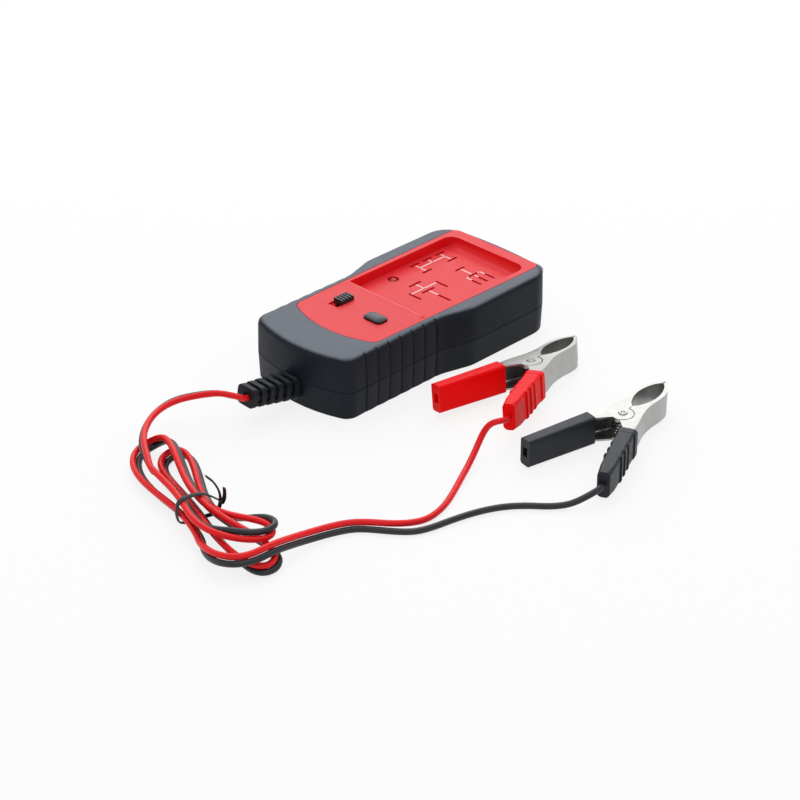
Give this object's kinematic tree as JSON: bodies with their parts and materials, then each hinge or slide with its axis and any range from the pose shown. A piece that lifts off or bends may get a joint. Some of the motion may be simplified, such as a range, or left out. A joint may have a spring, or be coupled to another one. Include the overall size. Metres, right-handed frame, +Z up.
{
  "type": "car relay tester with battery clips",
  "caption": "Hand-held car relay tester: recessed face plate with relay contact slots, slide switch, test button and lamp, and a twin lead that ends in sprung battery clips.",
  "frame": {"origin": "centre of the housing's bottom face, on the surface that it lies on", "axes": "+Y along the housing towards the relay recess, away from the strain relief; +Z up through the face plate; +X to the side where the clips lie"},
  "size_m": [0.1787, 0.2391, 0.0303],
  "materials": {
    "housing_grey": "fine satin grain",
    "relief_grey": "soft satin",
    "panel_red": "satin",
    "screw_steel": "zinc plated",
    "board_green": "solder mask",
    "control_black": "satin",
    "switch_metal": "plain",
    "component_black": "moulded",
    "lamp_tint": "clear tinted resin",
    "contact_brass": "plain",
    "resistor_tan": "lacquered",
    "capacitor_blue": "sleeved",
    "lead_red": "soft insulation",
    "lead_black": "soft insulation",
    "tie_black": "coated wire",
    "sleeve_red": "soft satin",
    "sleeve_black": "soft satin",
    "clip_steel": "nickel plated"
  },
  "bodies": {
    "housing": {"lower_shell": "housing_grey", "upper_shell": "housing_grey", "face_panel": "panel_red", "case_screws": "screw_steel", "circuit_board": "board_green", "board_screws": "screw_steel", "slide_switch_body": "switch_metal", "button_switch_body": "component_black", "status_led": "lamp_tint", "contact_sleeves_a": "contact_brass", "contact_sleeves_b": "contact_brass", "contact_sleeves_c": "contact_brass", "controller_chip": "component_black", "transistors": "component_black", "resistors": "resistor_tan", "capacitor": "capacitor_blue", "red_lead_tail": "lead_red", "black_lead_tail": "lead_black", "strain_relief": "relief_grey", "red_lead_in": "lead_red", "black_lead_in": "lead_black", "red_hank": "lead_red", "black_hank": "lead_black", "red_lead_out": "lead_red", "black_lead_out": "lead_black", "twist_tie": "tie_black", "red_fixed_jaw": "clip_steel", "red_clip_spring": "clip_steel", "red_clip_rivet": "clip_steel", "red_ribbed_sleeve": "sleeve_red", "red_crimp": "clip_steel", "black_fixed_jaw": "clip_steel", "black_clip_spring": "clip_steel", "black_clip_rivet": "clip_steel", "black_ribbed_sleeve": "sleeve_black", "black_crimp": "clip_steel"},
    "slide_knob": {"slide_switch_knob": "control_black"},
    "button": {"test_button": "control_black"},
    "red_jaw_half": {"red_moving_jaw": "clip_steel", "red_plain_sleeve": "sleeve_red"},
    "black_jaw_half": {"black_moving_jaw": "clip_steel", "black_plain_sleeve": "sleeve_black"}
  },
  "joints": [
    {"name": "slide_switch", "type": "slide", "parent": "housing", "child": "slide_knob", "axis": [0, -1, 0], "range_m": [0, 0.0032]},
    {"name": "button_press", "type": "slide", "parent": "housing", "child": "button", "axis": [0, 0, -1], "range_m": [0, 0.001], "stiffness_N_per_m": 600, "springref_m": -0.0005},
    {"name": "red_clip_open", "type": "hinge", "parent": "housing", "child": "red_jaw_half", "pos_m": [0.0654, 0.0141, 0.0087], "axis": [-0.145, 0.0448, 0.9884], "range_deg": [0, 30], "stiffness_Nm_per_rad": 0.3, "springref_deg": -28.65, "deforming": ["red_clip_spring"]},
    {"name": "black_clip_open", "type": "hinge", "parent": "housing", "child": "black_jaw_half", "pos_m": [0.1183, 0.011, 0.00665], "axis": [0, 0, 1], "range_deg": [0, 30], "stiffness_Nm_per_rad": 0.3, "springref_deg": -28.65, "deforming": ["black_clip_spring"]}
  ]
}
